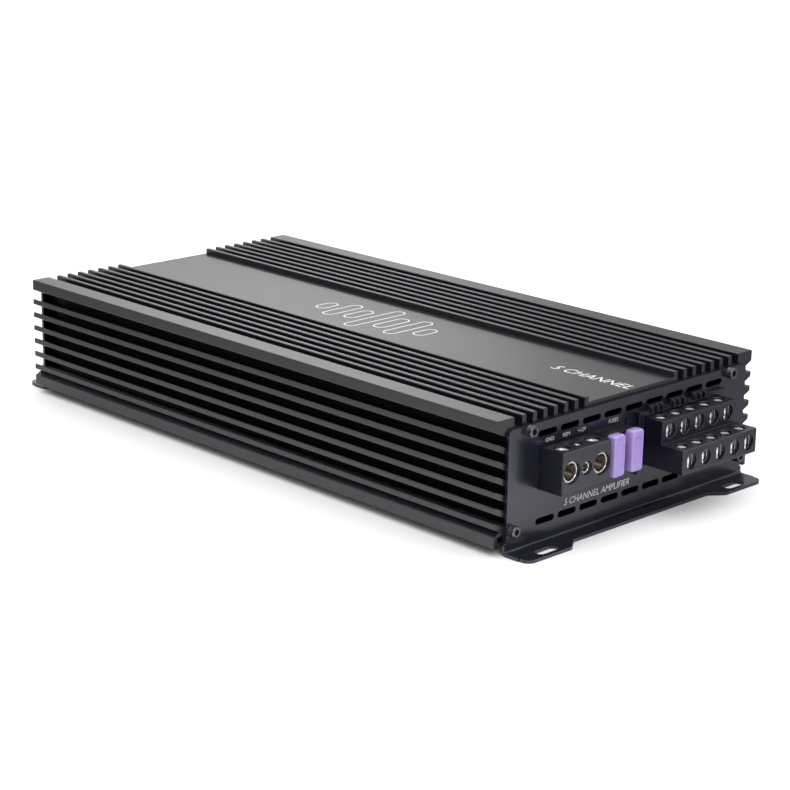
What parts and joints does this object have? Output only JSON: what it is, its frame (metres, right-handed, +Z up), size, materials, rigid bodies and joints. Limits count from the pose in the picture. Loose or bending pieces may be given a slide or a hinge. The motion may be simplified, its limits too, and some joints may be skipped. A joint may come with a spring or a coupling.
{
  "type": "car amplifier",
  "caption": "Car audio amplifier: finned extruded heat-sink housing, bent end plates with slotted feet, screw terminals, plug-in speaker connector, blade fuses and rear controls.",
  "frame": {"origin": "centre of the bounding box in plan, at the underside of the mounting feet", "axes": "+X along the housing towards the terminal end, +Y across, +Z up"},
  "size_m": [0.3662, 0.1706, 0.0594],
  "materials": {
    "black_anodised": "satin black anodised extrusion",
    "black_powder_coat": "satin black powder coat",
    "black_oxide_steel": "black oxide steel",
    "circuit_board": "green solder mask",
    "black_nylon": "moulded black nylon",
    "nickel_brass": "nickel plated brass",
    "tinned_brass": "tinned",
    "nickel_steel": "bright nickel plated steel",
    "violet_fuse_plastic": "translucent violet moulding",
    "white_insert": "white insulator",
    "green_lens": "tinted lens",
    "red_lens": "tinted lens",
    "grey_ferrite": "ferrite",
    "copper_winding": "enamelled copper",
    "capacitor_sleeve": "sleeved aluminium cans",
    "grey_silicone": "thermal pad",
    "black_epoxy": "moulded epoxy packages",
    "steel": "zinc plated",
    "soft_black_plastic": "soft-touch black",
    "white_nylon": "white nylon"
  },
  "bodies": {
    "chassis": {"heat_sink_housing": "black_anodised", "bottom_cover": "black_powder_coat", "terminal_end_plate": "black_powder_coat", "control_end_plate": "black_powder_coat", "end_plate_screws": "black_oxide_steel", "bottom_cover_screws": "black_oxide_steel", "main_board": "circuit_board", "power_terminal_block": "black_nylon", "power_terminal_clamps": "nickel_brass", "fuse_holder": "black_nylon", "fuse_clips": "tinned_brass", "speaker_header": "black_nylon", "speaker_header_pins": "tinned_brass", "input_jack_block": "black_nylon", "input_jack_collars": "nickel_brass", "input_jack_inserts": "white_insert", "control_pots": "black_nylon", "switch_bodies": "nickel_steel", "remote_control_jack": "black_nylon", "power_indicator": "green_lens", "protect_indicator": "red_lens", "transformer_core": "grey_ferrite", "transformer_winding": "copper_winding", "filter_capacitors": "capacitor_sleeve", "output_inductors": "grey_ferrite", "insulating_pads": "grey_silicone", "power_transistors": "black_epoxy", "transistor_clamp_bars": "steel", "clamp_bar_screws": "steel"},
    "fuse_1": {"fuse_1_body": "violet_fuse_plastic", "fuse_1_blades": "tinned_brass"},
    "fuse_2": {"fuse_2_body": "violet_fuse_plastic", "fuse_2_blades": "tinned_brass"},
    "speaker_plug": {"speaker_plug": "black_nylon", "speaker_plug_clamps": "nickel_brass"},
    "ground_set_screw": {"ground_set_screw": "nickel_steel"},
    "remote_set_screw": {"remote_set_screw": "nickel_steel"},
    "battery_set_screw": {"battery_set_screw": "nickel_steel"},
    "speaker_screw_1": {"speaker_screw_1": "nickel_steel"},
    "speaker_screw_2": {"speaker_screw_2": "nickel_steel"},
    "speaker_screw_3": {"speaker_screw_3": "nickel_steel"},
    "speaker_screw_4": {"speaker_screw_4": "nickel_steel"},
    "speaker_screw_5": {"speaker_screw_5": "nickel_steel"},
    "speaker_screw_6": {"speaker_screw_6": "nickel_steel"},
    "speaker_screw_7": {"speaker_screw_7": "nickel_steel"},
    "speaker_screw_8": {"speaker_screw_8": "nickel_steel"},
    "speaker_screw_9": {"speaker_screw_9": "nickel_steel"},
    "speaker_screw_10": {"speaker_screw_10": "nickel_steel"},
    "front_gain_knob": {"front_gain_knob": "soft_black_plastic"},
    "rear_gain_knob": {"rear_gain_knob": "soft_black_plastic"},
    "sub_gain_knob": {"sub_gain_knob": "soft_black_plastic"},
    "front_filter_knob": {"front_filter_knob": "soft_black_plastic"},
    "rear_filter_knob": {"rear_filter_knob": "soft_black_plastic"},
    "sub_filter_knob": {"sub_filter_knob": "soft_black_plastic"},
    "front_mode_switch": {"front_mode_switch": "white_nylon"},
    "rear_mode_switch": {"rear_mode_switch": "white_nylon"},
    "sub_mode_switch": {"sub_mode_switch": "white_nylon"}
  },
  "joints": [
    {"name": "fuse_1_pull", "type": "slide", "parent": "chassis", "child": "fuse_1", "axis": [1, 0, 0], "range_m": [0, 0.012]},
    {"name": "fuse_2_pull", "type": "slide", "parent": "chassis", "child": "fuse_2", "axis": [1, 0, 0], "range_m": [0, 0.012]},
    {"name": "speaker_plug_pull", "type": "slide", "parent": "chassis", "child": "speaker_plug", "axis": [1, 0, 0], "range_m": [0, 0.012]},
    {"name": "ground_set_screw_turn", "type": "hinge", "parent": "chassis", "child": "ground_set_screw", "pos_m": [0.166, -0.0544, 0.041], "axis": [0, 0, 1], "continuous": true},
    {"name": "remote_set_screw_turn", "type": "hinge", "parent": "chassis", "child": "remote_set_screw", "pos_m": [0.166, -0.0449, 0.041], "axis": [0, 0, 1], "continuous": true},
    {"name": "battery_set_screw_turn", "type": "hinge", "parent": "chassis", "child": "battery_set_screw", "pos_m": [0.166, -0.0354, 0.041], "axis": [0, 0, 1], "continuous": true},
    {"name": "speaker_screw_1_turn", "type": "hinge", "parent": "speaker_plug", "child": "speaker_screw_1", "pos_m": [0.16485, 0.01133, 0.0427], "axis": [0, 0, 1], "continuous": true},
    {"name": "speaker_screw_2_turn", "type": "hinge", "parent": "speaker_plug", "child": "speaker_screw_2", "pos_m": [0.16485, 0.02149, 0.0427], "axis": [0, 0, 1], "continuous": true},
    {"name": "speaker_screw_3_turn", "type": "hinge", "parent": "speaker_plug", "child": "speaker_screw_3", "pos_m": [0.16485, 0.03165, 0.0427], "axis": [0, 0, 1], "continuous": true},
    {"name": "speaker_screw_4_turn", "type": "hinge", "parent": "speaker_plug", "child": "speaker_screw_4", "pos_m": [0.16485, 0.04181, 0.0427], "axis": [0, 0, 1], "continuous": true},
    {"name": "speaker_screw_5_turn", "type": "hinge", "parent": "speaker_plug", "child": "speaker_screw_5", "pos_m": [0.16485, 0.05197, 0.0427], "axis": [0, 0, 1], "continuous": true},
    {"name": "speaker_screw_6_turn", "type": "hinge", "parent": "speaker_plug", "child": "speaker_screw_6", "pos_m": [0.17715, 0.01133, 0.0317], "axis": [0, 0, 1], "continuous": true},
    {"name": "speaker_screw_7_turn", "type": "hinge", "parent": "speaker_plug", "child": "speaker_screw_7", "pos_m": [0.17715, 0.02149, 0.0317], "axis": [0, 0, 1], "continuous": true},
    {"name": "speaker_screw_8_turn", "type": "hinge", "parent": "speaker_plug", "child": "speaker_screw_8", "pos_m": [0.17715, 0.03165, 0.0317], "axis": [0, 0, 1], "continuous": true},
    {"name": "speaker_screw_9_turn", "type": "hinge", "parent": "speaker_plug", "child": "speaker_screw_9", "pos_m": [0.17715, 0.04181, 0.0317], "axis": [0, 0, 1], "continuous": true},
    {"name": "speaker_screw_10_turn", "type": "hinge", "parent": "speaker_plug", "child": "speaker_screw_10", "pos_m": [0.17715, 0.05197, 0.0317], "axis": [0, 0, 1], "continuous": true},
    {"name": "front_gain_turn", "type": "hinge", "parent": "chassis", "child": "front_gain_knob", "pos_m": [-0.1739, 0, 0.038], "axis": [-1, 0, 0], "range_deg": [-150, 150]},
    {"name": "rear_gain_turn", "type": "hinge", "parent": "chassis", "child": "rear_gain_knob", "pos_m": [-0.1739, 0.017, 0.038], "axis": [-1, 0, 0], "range_deg": [-150, 150]},
    {"name": "sub_gain_turn", "type": "hinge", "parent": "chassis", "child": "sub_gain_knob", "pos_m": [-0.1739, 0.034, 0.038], "axis": [-1, 0, 0], "range_deg": [-150, 150]},
    {"name": "front_filter_turn", "type": "hinge", "parent": "chassis", "child": "front_filter_knob", "pos_m": [-0.1739, 0, 0.024], "axis": [-1, 0, 0], "range_deg": [-150, 150]},
    {"name": "rear_filter_turn", "type": "hinge", "parent": "chassis", "child": "rear_filter_knob", "pos_m": [-0.1739, 0.017, 0.024], "axis": [-1, 0, 0], "range_deg": [-150, 150]},
    {"name": "sub_filter_turn", "type": "hinge", "parent": "chassis", "child": "sub_filter_knob", "pos_m": [-0.1739, 0.034, 0.024], "axis": [-1, 0, 0], "range_deg": [-150, 150]},
    {"name": "front_mode_slide", "type": "slide", "parent": "chassis", "child": "front_mode_switch", "axis": [0, 1, 0], "range_m": [0, 0.003]},
    {"name": "rear_mode_slide", "type": "slide", "parent": "chassis", "child": "rear_mode_switch", "axis": [0, 1, 0], "range_m": [0, 0.003]},
    {"name": "sub_mode_slide", "type": "slide", "parent": "chassis", "child": "sub_mode_switch", "axis": [0, 1, 0], "range_m": [0, 0.003]}
  ]
}
